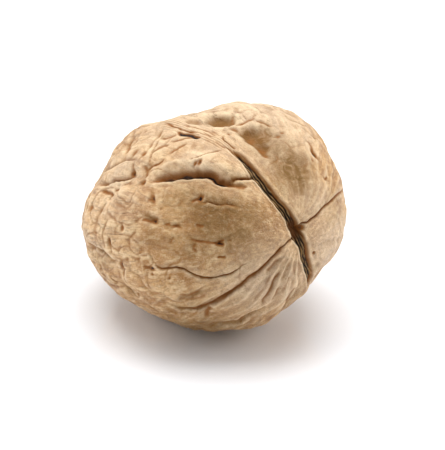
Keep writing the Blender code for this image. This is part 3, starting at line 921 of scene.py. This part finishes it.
# The colours lie one over the other: tan clouds; streaks, mottle and hairs, each dark and then pale;
# painted highlight on upward faces, with pale places; specks and grain; painted highlight on ridges and
# painted shade in small and broad hollows; stains with painted shade, and cracks; painted shade with some
# dirt in creases, pits and the open seam, brown and then black; and last the pale dried fibres in the seam.
colour = blend(between(clouds, 0.36, 0.62), linear("#B27D3F"), linear("#D0A065"))
for amount, code in (
    (times(between(streaks, 0.50, 0.62), 0.7), "#976329"),
    (times(between(streaks, 0.48, 0.36), 0.75), "#EBC894"),
    (times(between(mottle, 0.54, 0.68), 0.18), "#8E5A26"),
    (times(between(mottle, 0.46, 0.34), 0.25), "#EDCD9E"),
    (times(between(hairs, 0.53, 0.64), 0.5), "#925F28"),
    (times(between(hairs, 0.46, 0.36), 0.5), "#F0D2A2"),
    # painted highlight on upward faces, with paler places
    (times(lit_top_and_pale_places_in, 0.45), "#F3E0C6"),
    (times(between(specks, 0.56, 0.70), 0.25), "#83552A"),
    (times(between(grain, 0.54, 0.66), 0.38), "#7A4C24"),
    (times(between(grain, 0.46, 0.35), 0.3), "#F6E2C2"),
    # painted highlight on ridges, then painted shade in small and broad hollows
    (times(ridge_highlight_in, 0.6), "#F2D9B2"),
    (times(hollow_shade_in, 0.7), "#86541D"),
    (times(broad_hollow_shade_in, 0.6), "#91672A"),
    # stain and painted shade together
    (times(stain_and_shade_in, blotched), "#7C571F"),
    (times(cracks, 0.45), "#7E4A1C"),
    # painted shade with some dirt, in creases, pits and the open seam: brown, then near-black
    (between(shade_and_dirt_in, 0.05, 0.6), "#955A1C"),
    (between(shade_and_dirt_in, 0.55, 0.95), "#22120A"),
    (times(strand_in, 0.9), "#D4AC74"),
):
    colour = blend(amount, colour, linear(code))
tree.links.new(colour, surface.inputs["Base Color"])
surface.inputs["Roughness"].default_value = 0.5
surface.inputs["IOR"].default_value = 1.4
# Open pores and raised fibres, felt as a fine tooth in the light.
RELIEF = 0.00019
pores = pattern(even, 4.5, 5.0, 0.72)
raised = pattern(flow, 3.0, 5.0, 0.65)
relief = add(tree, "ShaderNodeMath", {0: pores, 1: raised}, operation="ADD").outputs[0]
relief = add(tree, "ShaderNodeMath", {0: cracks, 1: -0.6, 2: relief}, operation="MULTIPLY_ADD").outputs[0]
bump = add(tree, "ShaderNodeBump", {"Height": relief, "Strength": 1.0, "Distance": RELIEF}).outputs[0]
tree.links.new(bump, surface.inputs["Normal"])
mesh.materials.clear()
mesh.materials.append(finish)

# ---------------------------------------------------------------------------------------------------------
# Floor, light and camera. A glossy white board lies under a broad overhead softbox, with a panel at each side
# and a pale tent all round. A black flag low in front keeps the near side darker, and the camera looks down
# at 27 degrees, between the stem end and the -Y cheek.
# ---------------------------------------------------------------------------------------------------------
VIEW_AZIMUTH = math.radians(57.0)
VIEW_ELEVATION = math.radians(27.0)
CAMERA_DISTANCE = 0.4
centre = Vector((0.0, 0.0, 0.016))
right = Vector((math.cos(VIEW_AZIMUTH), math.sin(VIEW_AZIMUTH), 0.0))
front = Vector((math.sin(VIEW_AZIMUTH), -math.cos(VIEW_AZIMUTH), 0.0))
to_camera = front * math.cos(VIEW_ELEVATION) + Vector((0.0, 0.0, math.sin(VIEW_ELEVATION)))

bpy.ops.object.select_all(action="DESELECT")
bpy.ops.mesh.primitive_plane_add(size=6.0)
board = bpy.context.object
board.name = "white_board"
white = bpy.data.materials.new("glossy white acrylic board")
white.use_nodes = True
white.node_tree.nodes["Principled BSDF"].inputs["Base Color"].default_value = linear("#F6F8FC")
white.node_tree.nodes["Principled BSDF"].inputs["Roughness"].default_value = 0.12
board.data.materials.append(white)

# The pale tent.
sky = bpy.data.worlds.new("white tent")
sky.use_nodes = True
sky.node_tree.nodes["Background"].inputs["Color"].default_value = (1.0, 1.0, 1.0, 1.0)
sky.node_tree.nodes["Background"].inputs["Strength"].default_value = 0.52
bpy.context.scene.world = sky

bpy.ops.object.select_all(action="DESELECT")
FLAG_WIDTH = 2.0
FLAG_HEIGHT = 0.5
bpy.ops.mesh.primitive_plane_add(size=1.0)
flag = bpy.context.object
flag.name = "black_flag"
for corner in flag.data.vertices:
    corner.co = Vector((corner.co.x * FLAG_WIDTH, corner.co.y * FLAG_HEIGHT, 0.0))
flag.location = front * 0.55 + Vector((0.0, 0.0, 0.28))
flag.rotation_euler = front.to_track_quat("Z", "Y").to_euler()
cloth = bpy.data.materials.new("black felt")
cloth.use_nodes = True
cloth.node_tree.nodes["Principled BSDF"].inputs["Base Color"].default_value = linear("#101010")
cloth.node_tree.nodes["Principled BSDF"].inputs["Roughness"].default_value = 1.0
flag.data.materials.append(cloth)
flag.visible_camera = False
flag.visible_glossy = False

# The lights, each turned to the nut: size in metres, power in watts, and place from the nut's middle.
for name, size, power, place in (
    ("overhead_softbox", 0.85, 9.1, front * -0.06 + Vector((0.0, 0.0, 0.85))),
    ("left_side_panel", 0.8, 4.3, right * -0.8 + front * -0.1 + Vector((0.0, 0.0, 0.3))),
    ("right_side_panel", 0.8, 4.3, right * 0.8 + front * -0.1 + Vector((0.0, 0.0, 0.3))),
):
    lamp = bpy.data.lights.new(name, "AREA")
    lamp.size = size
    lamp.energy = power
    light = bpy.data.objects.new(name, lamp)
    bpy.context.scene.collection.objects.link(light)
    light.location = centre + place
    light.rotation_euler = (-place).to_track_quat("-Z", "Y").to_euler()

camera = bpy.data.cameras.new("camera")
camera.lens = 229.0
camera.sensor_width = 36.0
viewer = bpy.data.objects.new("camera", camera)
bpy.context.scene.collection.objects.link(viewer)
aim = centre + right * 0.00125 - to_camera.cross(right) * 0.0022
viewer.location = aim + to_camera * CAMERA_DISTANCE
viewer.rotation_euler = (-to_camera).to_track_quat("-Z", "Y").to_euler()
bpy.context.scene.camera = viewer
bpy.context.scene.view_settings.view_transform = "Standard"
